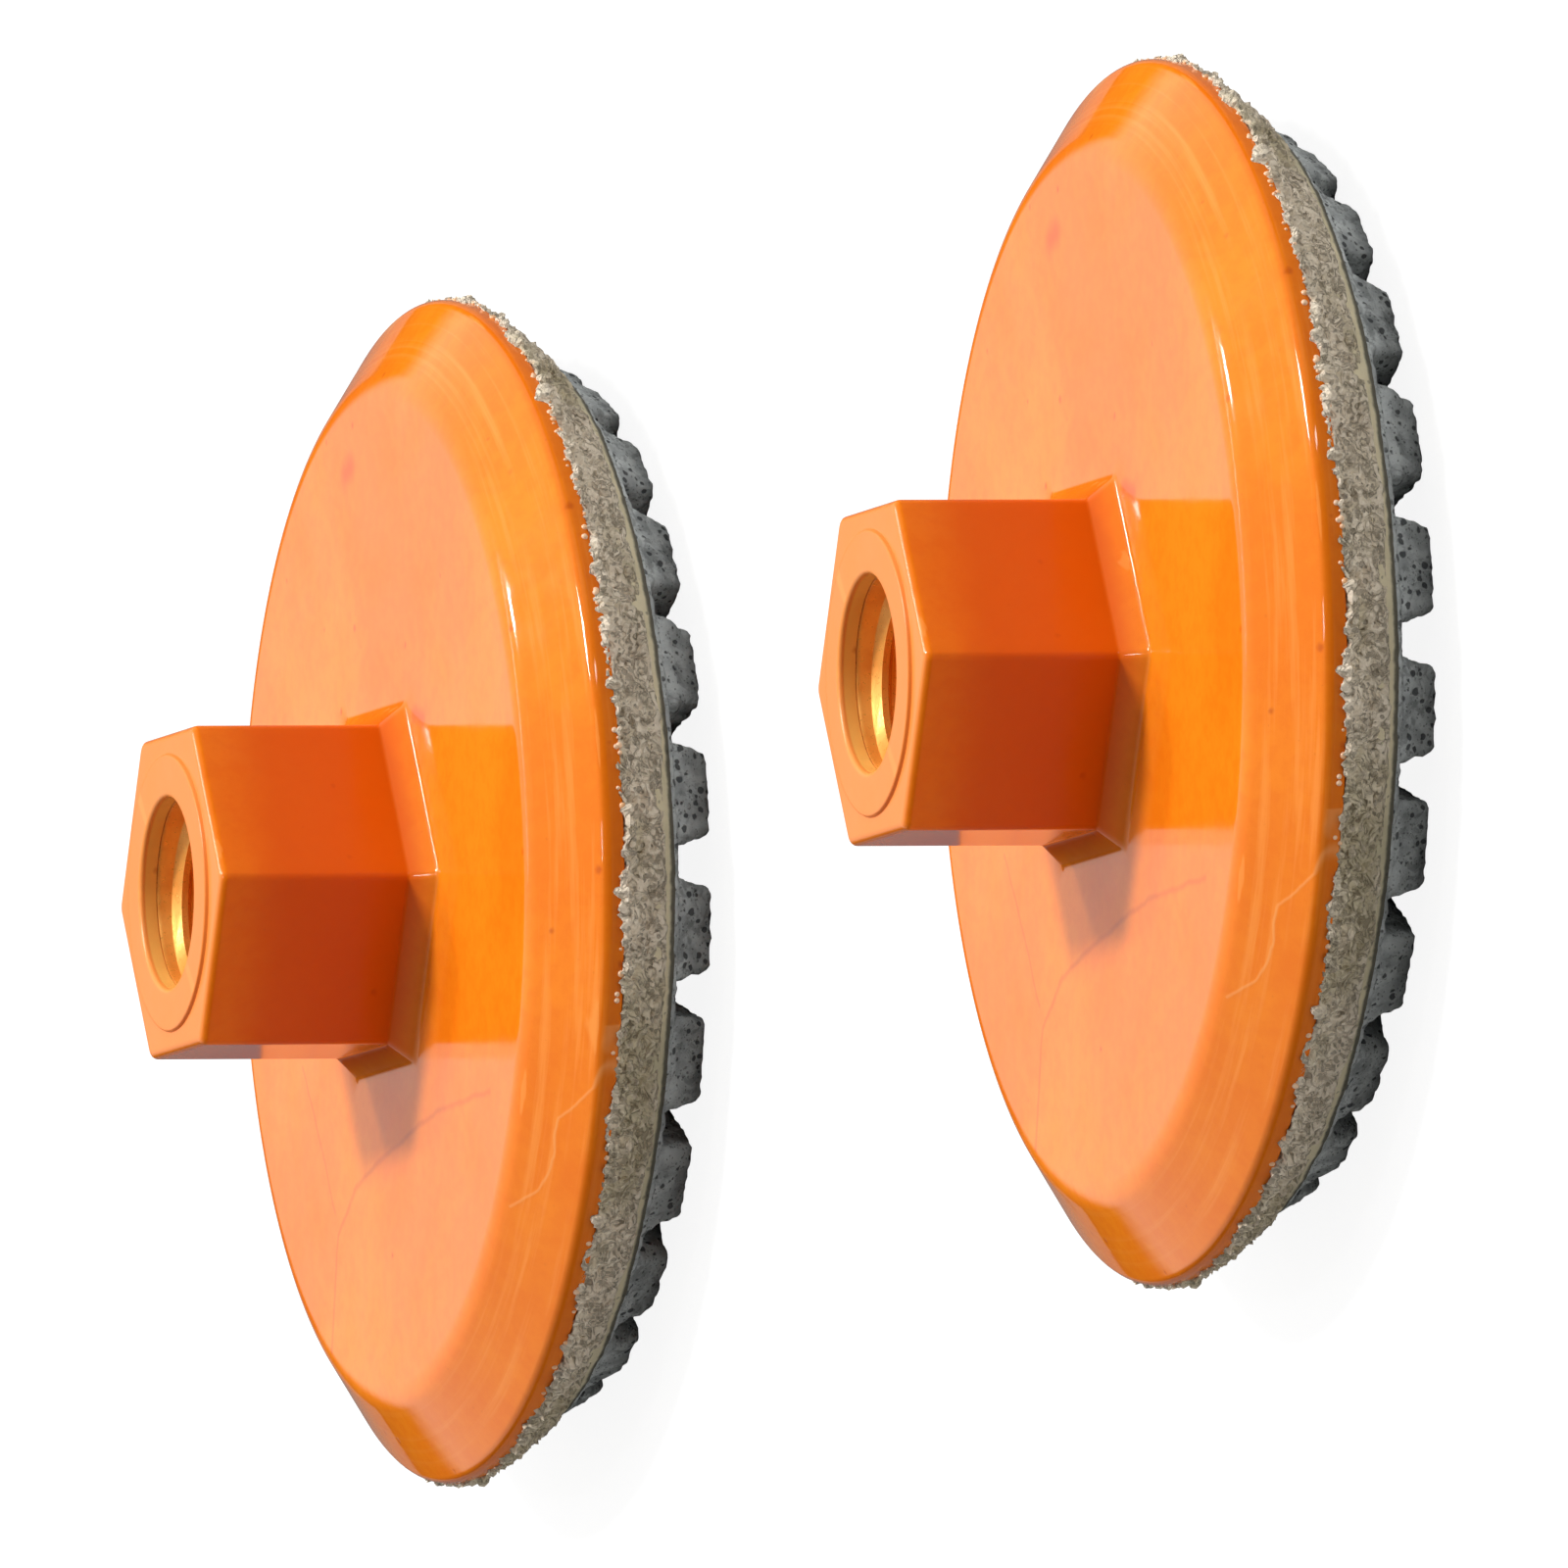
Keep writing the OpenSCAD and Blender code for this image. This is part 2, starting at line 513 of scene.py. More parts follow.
def orange_plastic(disc):
    """Glossy moulded plastic with faint flow streaks, specks, smudges and scratches, with painted
    shade on the hub and rim band, and a painted sheen and highlights on its end face and edges.
    """
    material, tree, shader, place = start_finish("orange_plastic", disc)
    x, y, z = parts_of(tree, place)
    radius = calc(tree, "SQRT", calc(tree, "ADD", product(tree, x, x), product(tree, y, y)))
    on_back = spread(tree, z, back_z + 0.3 * MM, back_z + 0.1 * MM)
    on_bevel = spread(tree, z, back_z - 0.2 * MM, back_z - 1.0 * MM)
    on_end = spread(tree, z, hub_face_z - 0.25 * MM, hub_face_z - 0.05 * MM)
    body = use(tree, MOTTLE, Vector=place, Scale=45.0,
               First=(0.95, 0.25, 0.009, 1), Second=(0.89, 0.20, 0.006, 1))
    # Painted shade and light on the hub: its walls are painted a deeper orange from the foot up, and
    # paler again towards the end face.
    hub_painted_shade = spread(tree, z, back_z + 0.2 * MM, back_z + foot_h, 0, 0.85)
    hub_end_painted_light = spread(tree, z, hub_top - 7 * MM, hub_top - 1 * MM, 0, 0.6)
    hub_painted_shade = less(tree, hub_painted_shade, hub_end_painted_light)
    colour = mixed(tree, spread(tree, body["Grain"], 0.4, 0.65, 0, 0.2), body["Color"],
                   (0.84, 0.15, 0.003, 1))
    colour = mixed(tree, hub_painted_shade, colour, (0.74, 0.11, 0.002, 1))
    in_hole = spread(tree, radius, hole_r + 0.5 * MM, hole_r + 0.1 * MM)
    colour = mixed(tree, in_hole, colour, (1.0, 0.55, 0.13, 1))
    across = put(tree, "CombineXYZ", X=radius, Y=product(tree, y, 0.06), Z=product(tree, z, 1.5))
    streaks = grain(tree, across.outputs[0], 900.0, 4.0, 0.6)
    streak_share = product(tree, on_bevel, spread(tree, streaks, 0.48, 0.72, 0, 0.5))
    colour = mixed(tree, streak_share, colour, (1.0, 0.34, 0.06, 1))
    # Painted shade: the narrow upright band of the rim, below the bevel, is painted darker.
    rim_band_painted_shade = spread(tree, z, back_z - bevel_h + 0.5 * MM, back_z - bevel_h - 0.2 * MM, 0, 0.45)
    colour = mixed(tree, rim_band_painted_shade, colour, (0.62, 0.115, 0.004, 1))
    # Painted sheen: the end face is painted paler, besides the rougher finish it gets below.
    colour = tinted(tree, colour, on_end, 0.8, (0.92, 0.27, 0.05, 1))
    specks = use(tree, PORES, Vector=place, Scale=260.0, Share=0.16)["Mask"]
    dust = use(tree, PORES, Vector=place, Scale=800.0, Share=0.13)["Mask"]
    colour = tinted(tree, colour, specks, 0.55, (0.50, 0.06, 0.004, 1))
    colour = tinted(tree, colour, dust, 0.35, (0.62, 0.12, 0.01, 1))
    scratch = calc(tree, "MAXIMUM", marked(tree, place, LONG_SCRATCH, 0.45),
                     marked(tree, place, SHORT_SCRATCH, 0.35))
    scratch = product(tree, on_back, scratch)
    colour = tinted(tree, colour, scratch, 0.4, (0.55, 0.075, 0.004, 1))
    for start, end, width in SMUDGES:
        smudge = marked(tree, place, [start, end], width)
        colour = tinted(tree, colour, smudge, 0.6, (0.72, 0.07, 0.004, 1))
    hair = marked(tree, place, HAIR_LINE, 0.2)
    colour = tinted(tree, colour, hair, 0.35, (1.0, 0.47, 0.16, 1))
    # Painted highlight: the plastic's sharp edges are painted paler.
    edge_wear_and_highlight = use(tree, EDGE_WEAR_AND_HIGHLIGHT, Vector=place, Low=0.53, High=0.60)["Mask"]
    colour = tinted(tree, colour, edge_wear_and_highlight, 0.4, (1.0, 0.36, 0.07, 1))
    shader.inputs["IOR"].default_value = 1.36
    haze = grain(tree, place, 120.0, 4.0)
    rough = calc(tree, "ADD", spread(tree, haze, 0.3, 0.75, 0.08, 0.16), product(tree, on_end, 0.2))
    rough = less(tree, rough, product(tree, on_bevel, 0.05))
    peel = calc(tree, "ADD", grain(tree, place, 420.0, 2.0),
                product(tree, streaks, product(tree, on_bevel, 0.8)))
    height = less(tree, calc(tree, "ADD", peel, hair), product(tree, specks, 0.6))
    paint(tree, shader, colour, rough, height, 0.16, 0.05 * MM)
    return material


def insert_brass(disc):
    material, tree, shader, place = start_finish("insert_brass", disc)
    body = use(tree, MOTTLE, Vector=place, Scale=160.0,
               First=(1.0, 0.50, 0.10, 1), Second=(0.88, 0.34, 0.05, 1))
    shader.inputs["Metallic"].default_value = 0.35
    roughness = spread(tree, body["Grain"], 0.3, 0.7, 0.25, 0.45)
    paint(tree, shader, body["Color"], roughness, body["Grain"], 0.3, 0.04 * MM)
    return material


def porous_cement(disc):
    material, tree, shader, place = start_finish("porous_cement", disc)
    body = use(tree, MOTTLE, Vector=place, Scale=230.0,
               First=(0.93, 0.79, 0.60, 1), Second=(0.80, 0.69, 0.51, 1))
    pits = use(tree, PORES, Vector=place, Scale=1500.0, Share=0.55)["Mask"]
    folds = less(tree, grain(tree, place, 620.0, 2.0, 0.5, 1.2), 0.5)
    apart = calc(tree, "ABSOLUTE", folds)
    creases_painted_dark = spread(tree, apart, 0.042, 0.012)
    broken = spread(tree, grain(tree, place, 420.0, 2.0), 0.36, 0.5)
    creases_painted_dark = product(tree, creases_painted_dark, broken)
    holes = calc(tree, "MAXIMUM", pits, product(tree, creases_painted_dark, 0.9))
    # Painted light and shade: the surface is painted paler except close to the creases.
    ridges_painted_light = spread(tree, apart, 0.05, 0.11, 0, 0.8)
    wet = spread(tree, grain(tree, place, 55.0, 3.0), 0.52, 0.62, 0, 0.6)
    colour = mixed(tree, ridges_painted_light, body["Color"], (1.0, 0.88, 0.70, 1))
    colour = mixed(tree, wet, colour, (0.52, 0.44, 0.24, 1))
    # Painted shade: the pits and creases are painted dark.
    colour = tinted(tree, colour, holes, 0.6, (0.24, 0.19, 0.13, 1))
    edge_wear_and_highlight = use(tree, EDGE_WEAR_AND_HIGHLIGHT, Vector=place, Low=0.515, High=0.60)["Mask"]
    colour = tinted(tree, colour, edge_wear_and_highlight, 0.6, (0.82, 0.70, 0.54, 1))
    roughness = spread(tree, body["Grain"], 0.3, 0.7, 0.75, 0.95)
    height = less(tree, calc(tree, "ADD", body["Grain"], ridges_painted_light), holes)
    paint(tree, shader, colour, roughness, height, 0.9, 0.28 * MM)
    return material


def squeezed_resin(disc):
    """Clear pinkish beads pressed out of the joint."""
    material, tree, shader, place = start_finish("squeezed_resin", disc)
    body = use(tree, MOTTLE, Vector=place, Scale=300.0,
               First=(0.95, 0.66, 0.44, 1), Second=(0.90, 0.48, 0.22, 1))
    roughness = spread(tree, body["Grain"], 0.3, 0.7, 0.15, 0.35)
    paint(tree, shader, body["Color"], roughness, body["Grain"], 0.2, 0.05 * MM)
    return material


def base_resin(disc):
    material, tree, shader, place = start_finish("base_resin", disc)
    body = use(tree, MOTTLE, Vector=place, Scale=120.0,
               First=(0.80, 0.70, 0.47, 1), Second=(0.62, 0.55, 0.36, 1))
    pits = use(tree, PORES, Vector=place, Scale=1300.0, Share=0.32)["Mask"]
    # Painted shade: the pits are painted dark.
    colour = tinted(tree, body["Color"], pits, 0.5, (0.14, 0.12, 0.08, 1))
    z = parts_of(tree, place)[2]
    # Painted shade: the bottom of the strip, in the groove where it meets the blocks, is painted near
    # black.
    lower_edge = calc(tree, "ADD", z, product(tree, grain(tree, place, 900.0), 0.4 * MM))
    groove_painted_shade = spread(tree, lower_edge, block_top + 0.85 * MM, block_top + 0.5 * MM, 0, 0.85)
    colour = mixed(tree, groove_painted_shade, colour, (0.05, 0.05, 0.045, 1))
    roughness = spread(tree, body["Grain"], 0.3, 0.7, 0.5, 0.75)
    height = less(tree, body["Grain"], pits)
    paint(tree, shader, colour, roughness, height, 0.4, 0.1 * MM)
    return material


def abrasive_stone(disc):
    material, tree, shader, place = start_finish("abrasive_stone", disc)
    body = use(tree, MOTTLE, Vector=place, Scale=480.0,
               First=(0.80, 0.84, 0.83, 1), Second=(0.52, 0.55, 0.55, 1))
    pits = use(tree, PORES, Vector=place, Scale=1300.0, Share=0.5)["Mask"]
    grit = use(tree, PORES, Vector=place, Scale=3200.0, Share=0.45)["Mask"]
    dark = calc(tree, "MAXIMUM", pits, product(tree, grit, 0.6))
    stains = spread(tree, grain(tree, place, 420.0, 4.0, 0.7, 0.8), 0.50, 0.62, 0, 0.55)
    colour = mixed(tree, stains, body["Color"], (0.20, 0.215, 0.22, 1))
    # Darker in the pits, which is painted shade, and on the dark grains of grit.
    colour = tinted(tree, colour, dark, 0.85, (0.06, 0.065, 0.07, 1))
    edge_wear_and_highlight = use(tree, EDGE_WEAR_AND_HIGHLIGHT, Vector=place, Low=0.53, High=0.62)["Mask"]
    colour = tinted(tree, colour, edge_wear_and_highlight, 0.5, (0.55, 0.58, 0.57, 1))
    roughness = spread(tree, body["Grain"], 0.3, 0.7, 0.7, 0.9)
    height = less(tree, body["Grain"], dark)
    paint(tree, shader, colour, roughness, height, 0.8, 0.18 * MM)
    return material


def for_both(finish):
    return {"a": finish("a"), "b": finish("b")}


PLASTIC = for_both(orange_plastic)
BRASS = for_both(insert_brass)
CEMENT = for_both(porous_cement)
BEADS = for_both(squeezed_resin)
BASE = for_both(base_resin)
STONE = for_both(abrasive_stone)

# ---------------------------------------------------------------- backing plate and hub

bevel_angle = math.degrees(math.atan(bevel_h / (rim_r - flat_r)))
bevel_normal = 90 - bevel_angle
flat_turn_r = flat_r - flat_edge_round * math.tan(math.radians(bevel_angle / 2))
rim_turn_z = plate_low + rim_h - bevel_round * math.tan(math.radians(bevel_normal / 2))
flat_start = (flat_turn_r - 0.4 * MM, back_z)
hub_foot = hub_flat + foot_w


def plate_section():
    """Half section from the flat back, round the rim and the underside, to the hole."""
    places = arc(flat_turn_r, back_z - flat_edge_round, flat_edge_round, 90, bevel_normal, 14)
    rim_bend = arc(rim_r - bevel_round, rim_turn_z, bevel_round, bevel_normal, 0, 12)
    places += line(places[-1], rim_bend[0], 8)[:-1]
    places += rim_bend
    places += arc(rim_r - rim_round, plate_low + rim_round, rim_round, 0, -90, 4)
    places += [(ring_in_r, plate_low), (hole_r, plate_low), (hole_r, insert_low),
               (insert_r, insert_low), (insert_r, insert_high), (hole_r, insert_high)]
    return places


def hub_section():
    """From the foot up to the end face, as (distance of a flat from the axis, height)."""
    fillet = [(0.42, 0.05), (0.26, 0.1), (0.12, 0.18), (0.0, 0.28), (-0.1, 0.4), (-0.2, 0.54)]
    places = [(hub_foot + out * MM, back_z + up * MM) for out, up in fillet]
    places += line(places[-1], (hub_flat + 0.12 * MM, back_z + foot_h - 0.14 * MM), 4)
    places += [(hub_flat + 0.03 * MM, back_z + foot_h), (hub_flat, back_z + foot_h + 0.2 * MM)]
    places += [(hub_flat, hub_face_z - hub_edge_round - 0.3 * MM)]
    places += arc(hub_flat - hub_edge_round, hub_face_z - hub_edge_round, hub_edge_round, 0, 90, 6)
    places += [(hub_flat - hub_edge_round - 0.25 * MM, hub_face_z)]
    return places


def seat_section():
    """From the end face over the raised seat and down the plain entry to the insert."""
    seat_round = 0.2 * MM
    entry_round = 0.4 * MM
    places = arc(seat_r - seat_round, hub_top - seat_round, seat_round, 10, 90, 4)
    places += [(seat_r - 0.5 * MM, hub_top), (hole_r + 0.7 * MM, hub_top)]
    places += arc(hole_r + entry_round, hub_top - entry_round, entry_round, 90, 180, 5)
    places += [(hole_r, insert_high)]
    return places


def backing_plate():
    hub_start = (hub_foot + 0.6 * MM, back_z + RING_STEP)
    corner_r = hub_start[0] / math.cos(math.radians(30))
    pick_nothing()
    bpy.ops.mesh.primitive_circle_add(vertices=6, radius=corner_r, fill_type="NGON",
                                      location=(AXIS.x, AXIS.y, hub_start[1]),
                                      rotation=(0, 0, hub_turn - math.radians(30)))
    settle()
    piece = bpy.context.object
    edit(piece)
    bpy.ops.mesh.select_all(action="SELECT")
    bpy.ops.mesh.bevel(offset=hub_corner_cut, segments=hub_corner_parts, affect="VERTICES")
    bpy.ops.mesh.select_all(action="SELECT")
    bpy.ops.mesh.delete(type="ONLY_FACE")
    bpy.ops.mesh.select_all(action="DESELECT")
    shape = bmesh.from_edit_mesh(piece.data)
    for edge in shape.edges:
        if edge.calc_length() > 3 * MM:
            edge.select = True
    bmesh.update_edit_mesh(piece.data)
    # The six sides get so many points that the hexagon and the round rings match.
    bpy.ops.mesh.subdivide(number_cuts=PLATE_SIDES // 6 - hub_corner_parts - 1)
    bpy.ops.mesh.select_all(action="SELECT")
    draw_rings(hub_start, hub_section())
    seat_start = (seat_r + 0.08 * MM, hub_face_z + RING_STEP)
    bpy.ops.mesh.primitive_circle_add(vertices=PLATE_SIDES, radius=seat_start[0],
                                      location=(AXIS.x, AXIS.y, seat_start[1]))
    draw_rings(seat_start, seat_section())
    bpy.ops.mesh.primitive_circle_add(vertices=PLATE_SIDES, radius=flat_start[0],
                                      location=(AXIS.x, AXIS.y, back_z))
    draw_rings(flat_start, plate_section())
    pick_open_rings(piece, hub_face_z)
    bpy.ops.mesh.bridge_edge_loops(interpolation="LINEAR")
    pick_open_rings(piece, back_z)
    bpy.ops.mesh.bridge_edge_loops(number_cuts=8, interpolation="LINEAR")
    close_up()
    done()
    smooth(piece, 28)
    return piece


# ---------------------------------------------------------------- thread insert


def thread_ridge():
    """One helical ridge, swept round the bore."""
    depth = thread_root_r - thread_crest_r + 0.1 * MM
    middle_r = thread_crest_r + depth / 2
    turns = int((insert_high - insert_low) / thread_pitch) - 1
    low = insert_high - (turns + 0.45) * thread_pitch
    pick_nothing()
    bpy.ops.mesh.primitive_plane_add(size=1, rotation=(math.pi / 2, 0, 0))
    settle()
    ridge = bpy.context.object
    edit(ridge)
    bpy.ops.mesh.select_all(action="SELECT")
    bpy.ops.transform.resize(value=(depth, 1, 0.8 * thread_pitch), center_override=(0, 0, 0))
    bpy.ops.transform.translate(value=(middle_r, 0, 0))
    bpy.ops.mesh.select_all(action="DESELECT")
    shape = bmesh.from_edit_mesh(ridge.data)
    for point in shape.verts:
        point.select = point.co.x < middle_r
    shape.select_flush(True)
    bmesh.update_edit_mesh(ridge.data)
    bpy.ops.transform.resize(value=(1, 1, 0.3), center_override=(0, 0, 0))
    bpy.ops.mesh.select_all(action="SELECT")
    bpy.ops.mesh.delete(type="ONLY_FACE")
    done()
    apply_modifier(ridge, "SCREW", screw_offset=thread_pitch, iterations=turns,
                   steps=72, render_steps=72)
    edit(ridge)
    bpy.ops.mesh.select_all(action="SELECT")
    bpy.ops.mesh.fill_holes(sides=4)
    close_up()
    done()
    ridge.location = (AXIS.x, AXIS.y, low)
    pick_only(ridge)
    settle()
    return ridge


def thread_insert():
    """A tube with rounded edges and a helical ridge in its bore."""
    edge = 0.3 * MM
    lead = 0.4 * MM
    out_r = insert_r - 0.02 * MM
    places = [(out_r, insert_low + edge), (out_r, insert_high - edge)]
    places += arc(out_r - edge, insert_high - edge, edge, 30, 90, 3)
    places += [(thread_root_r + lead, insert_high),
               (thread_root_r + 0.1 * MM, insert_high - 0.1 * MM),
               (thread_root_r, insert_high - lead),
               (thread_root_r, insert_low + lead),
               (thread_root_r + edge, insert_low), (out_r - edge, insert_low)]
    tube = turned_ring("insert_tube", places, PLATE_SIDES)
    ridge = thread_ridge()
    pick_only(tube)
    ridge.select_set(True)
    bpy.ops.object.join()
    smooth(tube, 30)
    return tube


# ---------------------------------------------------------------- cement and base ring

cement_low_r = base_r + 0.5 * MM
bead_count = 150


def cement_layer():
    """Porous ring whose outer wall is lumpy and creeps up over the rim of the plate."""
    foot = (cement_low_r - 0.1 * MM, base_top)
    toe_h = 1.1 * MM
    toe_r = base_r - 0.4 * MM
    toe_z = base_top - toe_h
    shoulder = (rim_r - 0.1 * MM, plate_low - 0.15 * MM)
    lip = (rim_r + 0.16 * MM, plate_low + 0.05 * MM)
    places = [(ring_in_r, base_top), (toe_r - 0.8 * MM, base_top),
              (toe_r - 0.8 * MM, toe_z + 0.1 * MM), (toe_r - 0.2 * MM, toe_z),
              (toe_r, toe_z + 0.05 * MM)]
    places += line(places[-1], foot, 4)
    places += line(foot, shoulder, 20)
    places += line(shoulder, lip, 3)
    places += [(rim_r + 0.1 * MM, plate_low + 0.22 * MM), (rim_r - 0.2 * MM, plate_low + 0.3 * MM),
               (rim_r - 0.8 * MM, plate_low + 0.2 * MM), (rim_r - 0.8 * MM, plate_low),
               (ring_in_r, plate_low)]
    piece = turned_ring("cement", places, RING_SIDES)
    rough_group(piece, "wall", lambda r, z: (r - cement_low_r + 1.2 * MM) / (1 * MM)
                if z < plate_low + 0.3 * MM else 0.35)
    rough_group(piece, "lip", lambda r, z: (z - plate_low + 0.5 * MM) / (0.8 * MM)
                if r > rim_r - 0.5 * MM else 0)
    rough_group(piece, "toe", lambda r, z: (base_top - z) / toe_h if r > toe_r - TINY else 0)
    lumps = noise_field("cement lumps", "CLOUDS", 3 * MM, noise_depth=3)
    crumbs = noise_field("cement crumbs", "CLOUDS", 0.7 * MM, noise_depth=2)
    creep = noise_field("cement creep", "CLOUDS", 4.5 * MM, noise_depth=4)
    holes = noise_field("cement holes", "VORONOI", 1.1 * MM)
    roughen(piece, lumps, "wall", 1.4 * MM)
    roughen(piece, holes, "wall", 0.6 * MM)
    roughen(piece, crumbs, "wall", 1.4 * MM)
    roughen(piece, creep, "lip", 2.1 * MM, "Z")
    roughen(piece, crumbs, "lip", 0.35 * MM, "Z")
    roughen(piece, creep, "toe", 1.4 * MM, "Z")
    roughen(piece, crumbs, "toe", 0.6 * MM, "Z")
    smooth(piece, 60)
    return piece


def squeezed_beads():
    """Small beads of bonding resin along the joint of plate and cement."""
    dice = random.Random(7)
    beads = []
    pick_nothing()
    for _ in range(bead_count):
        turn = dice.uniform(0, 2 * math.pi)
        size = dice.uniform(0.12, 0.34) * MM
        reach = rim_r - dice.uniform(0.3, 0.7) * size + 0.05 * MM
        height = plate_low + dice.uniform(0.0, 0.6) * MM
        place = (AXIS.x + reach * math.cos(turn), AXIS.y + reach * math.sin(turn), height)
        bpy.ops.mesh.primitive_ico_sphere_add(subdivisions=2, radius=size, location=place)
        beads.append(bpy.context.object)
    pick_nothing()
    for one in beads:
        one.select_set(True)
    bpy.context.view_layer.objects.active = beads[0]
    bpy.ops.object.join()
    settle()
    smooth(beads[0], 80)
    return beads[0]


def base_ring():
    """Smooth strip under the blocks, with the thin web that the blocks grow from."""
    web = 0.45 * MM
    wall = (base_r - 1.05 * MM, block_top)
    top = (base_r, base_top)
    places = [(ring_in_r, block_top), (38 * MM, block_top)]
    places += arc(wall[0] - 0.3 * MM, block_top + 0.3 * MM, 0.3 * MM, -90, -20, 4)
    places += line(places[-1], top, 9)
    places += [(base_r - 0.4 * MM, base_top + 0.1 * MM), (ring_in_r, base_top)]
    piece = turned_ring("base", places, RING_SIDES)
    rough_group(piece, "wall", lambda r, z: (r - wall[0] + 1 * MM) / (1 * MM))
    waves = noise_field("base waves", "CLOUDS", 3.5 * MM, noise_depth=2)
    nicks = noise_field("base nicks", "CLOUDS", 0.9 * MM, noise_depth=3)
    roughen(piece, waves, "wall", 0.35 * MM)
    roughen(piece, nicks, "wall", 0.16 * MM)
    smooth(piece, 60)
    web_r = crown_r + 0.25 * MM
    web_in_r = crown_in_r - 1 * MM
    web_top = block_top + 0.1 * MM
    skin = turned_ring("web", [(web_in_r, block_top - web), (web_r - 0.2 * MM, block_top - web),
                               (web_r, block_top - 0.5 * web), (web_r + 0.1 * MM, web_top),
                               (web_in_r, web_top)], RING_SIDES)
    rough_group(skin, "wall", lambda r, z: 1 if r > web_r - 1 * MM else 0.3)
    roughen(skin, nicks, "wall", 0.4 * MM)
    smooth(skin, 60)
    return piece, skin


def join_finishes(main, main_finish, other, other_finish):
    """Joins two pieces and keeps the other's faces in the second material slot."""
    main.data.materials.append(main_finish["a"])
    other.data.materials.append(other_finish["a"])
    pick_only(main)
    other.select_set(True)
    bpy.ops.object.join()
    return main


# ---------------------------------------------------------------- abrasive blocks

block_grain = 0.32 * MM
block_wear = 14


def cut_slot(turn, side):
    """Cuts the selected block along one wall of the slot whose middle is at this turn."""
    across = Vector((-math.sin(turn), math.cos(turn), 0)) * side
    slope = (slot_mouth - slot_root) / block_top
    wall_point = AXIS + across * slot_root + Vector((0, 0, block_top))
    bpy.ops.mesh.select_all(action="SELECT")
    bpy.ops.mesh.bisect(plane_co=wall_point, plane_no=across + Vector((0, 0, slope)),
                        use_fill=True, clear_inner=True)


def plain_block():
    """Block 1: a sector of the crown's section, cut by its two slots and rounded."""
    middle_r = (crown_in_r + crown_r) / 2
    middle = (AXIS.x + middle_r, AXIS.y, block_top / 2)
    pick_nothing()
    bpy.ops.mesh.primitive_plane_add(size=1, rotation=(math.pi / 2, 0, 0), location=middle)
    settle()
    block = bpy.context.object
    edit(block)
    bpy.ops.mesh.select_all(action="SELECT")
    bpy.ops.transform.resize(value=(crown_r - crown_in_r, 1, block_top), center_override=middle)
    pick_points(block, lambda r, z: r > middle_r and z < block_top / 2)
    bpy.ops.transform.translate(value=(-crown_lean, 0, 0))
    bpy.ops.mesh.select_all(action="SELECT")
    bpy.ops.mesh.spin(steps=12, angle=pitch, center=(AXIS.x, AXIS.y, 0), axis=(0, 0, 1))
    close_up()
    done()
    swept_left = sum(point.co.y - AXIS.y for point in block.data.vertices) > 0
    middle_turn = pitch / 2 if swept_left else -pitch / 2
    edit(block)
    cut_slot(middle_turn - pitch / 2, 1)
    cut_slot(middle_turn + pitch / 2, -1)
    close_up()
    done()
    turn_about_axis(block, crown_turn - middle_turn)
    apply_modifier(block, "REMESH", mode="VOXEL", voxel_size=block_grain)
    apply_modifier(block, "SMOOTH", factor=0.5, iterations=block_wear)
    return block


def turn_about_axis(piece, angle):
    """Turns a piece anticlockwise, seen from above, about the axis of disc a."""
    pick_only(piece)
    piece.rotation_euler.z = angle
    piece.location = AXIS - Vector((AXIS.x * math.cos(angle) - AXIS.y * math.sin(angle),
                                    AXIS.x * math.sin(angle) + AXIS.y * math.cos(angle), 0))
    settle()


def flatten_face(block):
    """Grinds the working face of a block flat where it lies on the floor."""
    edit(block)
    pick_points(block, lambda r, z: z < 0)
    bpy.ops.transform.resize(value=(1, 1, 0), center_override=(AXIS.x, AXIS.y, 0))
    done()


def abrasive_blocks():
    lumps = noise_field("block lumps", "CLOUDS", 3.2 * MM, noise_depth=2)
    chips = noise_field("block chips", "CLOUDS", 1.0 * MM, noise_depth=3)
    pits = noise_field("block pits", "VORONOI", 1.3 * MM)
    first = plain_block()
    for number in range(1, block_count + 1):
        pick_only(first)
        bpy.ops.object.duplicate(linked=False)
        block = bpy.context.object
        turn_about_axis(block, pitch * (number - 1))
        roughen(block, lumps, "", 0.5 * MM)
        roughen(block, chips, "", 0.45 * MM)
        roughen(block, pits, "", 0.3 * MM, level=0.6)
        apply_modifier(block, "DECIMATE", ratio=0.5)
        flatten_face(block)
        smooth(block, 70)
        hand_over(block, "grinding_block", "segment", [STONE], f"{number:02d}")
    bpy.data.objects.remove(first)


# ---------------------------------------------------------------- putting it together

hand_over(backing_plate(), "moulded_plate", "backing_plate", [PLASTIC])
hand_over(thread_insert(), "tapped_insert", "thread_insert", [BRASS])
cement_and_beads = join_finishes(cement_layer(), CEMENT, squeezed_beads(), BEADS)
hand_over(cement_and_beads, "cement_ring", "cement_layer", [CEMENT, BEADS])
strip, web_skin = base_ring()
hand_over(join_finishes(strip, BASE, web_skin, STONE), "base_strip", "base_ring",
          [BASE, STONE])
abrasive_blocks()

# ---------------------------------------------------------------- floor, light, camera


floor_bounce = 0.58
floor_in_reflections = 0.12
floor_seen = 0.15
floor_glow = 0.90
bright_side = Vector((-0.80, 0.25, 0.55)).normalized()
lamp_distance = 8.0


def grey(level):
    return (level, level, level, 1)


